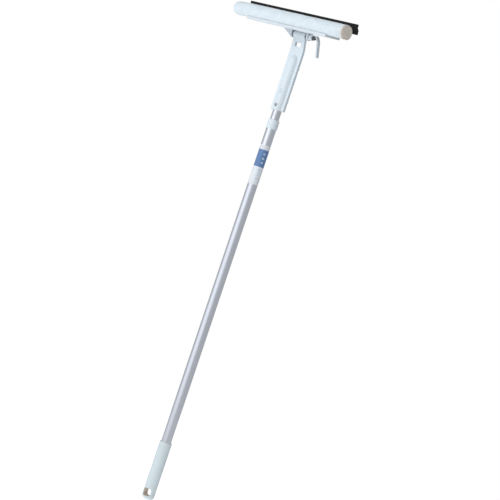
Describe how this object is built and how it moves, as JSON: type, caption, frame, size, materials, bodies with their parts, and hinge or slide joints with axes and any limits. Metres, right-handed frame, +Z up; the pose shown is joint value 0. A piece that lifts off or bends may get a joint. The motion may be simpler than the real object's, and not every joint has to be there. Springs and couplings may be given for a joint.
{
  "type": "window cleaning squeegee",
  "caption": "Telescopic-pole window cleaner: fabric washer pad in front, rubber squeegee blade behind, on a tilting head with a lock lever.",
  "frame": {"origin": "on the pole axis, at the middle of the plain hand band of the grip", "axes": "+Z up the pole to the head, +X along the blade, -Y to the washer pad side"},
  "size_m": [0.3054, 0.0849, 1.0808],
  "materials": {
    "grip_plastic": "fine satin moulded plastic",
    "white_plastic": "smooth moulded plastic",
    "frame_plastic": "light grey moulded plastic",
    "black_plastic": "extruded black plastic",
    "tube_aluminium": "satin anodised",
    "label_film": "printed wrap film",
    "lock_plastic": "dark nylon",
    "steel": "zinc plated",
    "blade_rubber": "smooth black rubber",
    "sponge_foam": "open-cell sponge",
    "sleeve_fabric": "short-pile white microfibre"
  },
  "bodies": {
    "handle": {"grip": "grip_plastic", "tube_end_plug": "lock_plastic", "outer_tube": "tube_aluminium", "label_sleeve": "label_film", "collar": "white_plastic", "guide_bush": "lock_plastic"},
    "lock_carriage": {"lock_jaw": "lock_plastic"},
    "inner_pole": {"inner_tube": "tube_aluminium", "cam_spindle": "lock_plastic", "lock_washer": "steel", "spindle_screw": "steel", "neck": "white_plastic", "neck_cover": "white_plastic", "neck_screws": "steel", "button_leaf": "steel"},
    "button": {"snap_button": "steel"},
    "head": {"hinge_pin": "steel", "left_friction_washer": "lock_plastic", "right_friction_washer": "lock_plastic", "head_frame": "frame_plastic", "blade_holder": "black_plastic", "rubber_blade": "blade_rubber", "left_blade_clip": "black_plastic", "right_blade_clip": "black_plastic", "holder_screws": "steel", "pad_core": "frame_plastic", "sponge_pad": "sponge_foam", "pad_sleeve": "sleeve_fabric", "core_screws": "steel"},
    "lever": {"lock_lever": "white_plastic", "lever_nut": "steel"}
  },
  "joints": [
    {"name": "pole_slide", "type": "slide", "parent": "handle", "child": "lock_carriage", "axis": [0, 0, 1], "range_m": [0, 0.6]},
    {"name": "twist_lock", "type": "hinge", "parent": "lock_carriage", "child": "inner_pole", "pos_m": [0, 0, 0], "axis": [0, 0, 1], "range_deg": [-120, 0]},
    {"name": "snap_button", "type": "slide", "parent": "inner_pole", "child": "button", "axis": [0, 1, 0], "range_m": [0, 0.0036], "stiffness_N_per_m": 400, "deforming": ["button_leaf"]},
    {"name": "head_tilt", "type": "hinge", "parent": "inner_pole", "child": "head", "pos_m": [0, -0.0052, 0.9645], "axis": [1, 0, 0], "range_deg": [-60, 70]},
    {"name": "lock_lever", "type": "hinge", "parent": "head", "child": "lever", "pos_m": [0, -0.0052, 0.9645], "axis": [1, 0, 0], "range_deg": [0, 80]}
  ]
}
